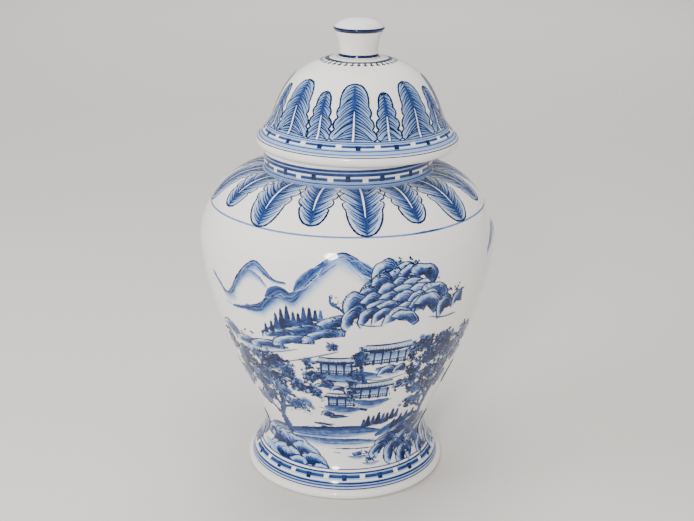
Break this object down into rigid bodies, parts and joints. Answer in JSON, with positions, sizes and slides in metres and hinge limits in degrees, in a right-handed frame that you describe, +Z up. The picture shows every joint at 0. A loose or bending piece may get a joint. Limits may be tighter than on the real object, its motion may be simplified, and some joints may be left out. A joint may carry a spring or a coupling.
{
  "type": "lidded ginger jar",
  "caption": "Lidded baluster jar in blue and white porcelain: spreading foot, full shoulder, short neck and a lift-off domed lid with a waisted knob.",
  "frame": {"origin": "on the surface the jar stands on, at the centre of the foot", "axes": "+Z up along the jar's axis; the front of the painting faces -Y"},
  "size_m": [0.21, 0.21, 0.33],
  "materials": {
    "foot_glaze": "clear gloss glaze over a cobalt blue painted border",
    "body_glaze": "clear gloss glaze over a cobalt blue painted landscape",
    "shoulder_glaze": "clear gloss glaze over cobalt blue painted leaves",
    "neck_glaze": "clear gloss glaze over a blue painted border",
    "lid_glaze": "clear gloss glaze over cobalt blue painted leaves",
    "bare_biscuit": "matt, unglazed",
    "knob_glaze": "clear gloss glaze with two dark blue lines"
  },
  "bodies": {
    "jar": {"jar_foot": "foot_glaze", "jar_lower_body": "body_glaze", "jar_shoulder": "shoulder_glaze", "jar_neck": "neck_glaze"},
    "lid": {"lid_dome": "lid_glaze", "lid_collar": "bare_biscuit", "lid_knob": "knob_glaze"}
  },
  "joints": [
    {"name": "lid_lift", "type": "slide", "parent": "jar", "child": "lid", "axis": [0, 0, 1], "range_m": [0, 0.15]}
  ]
}
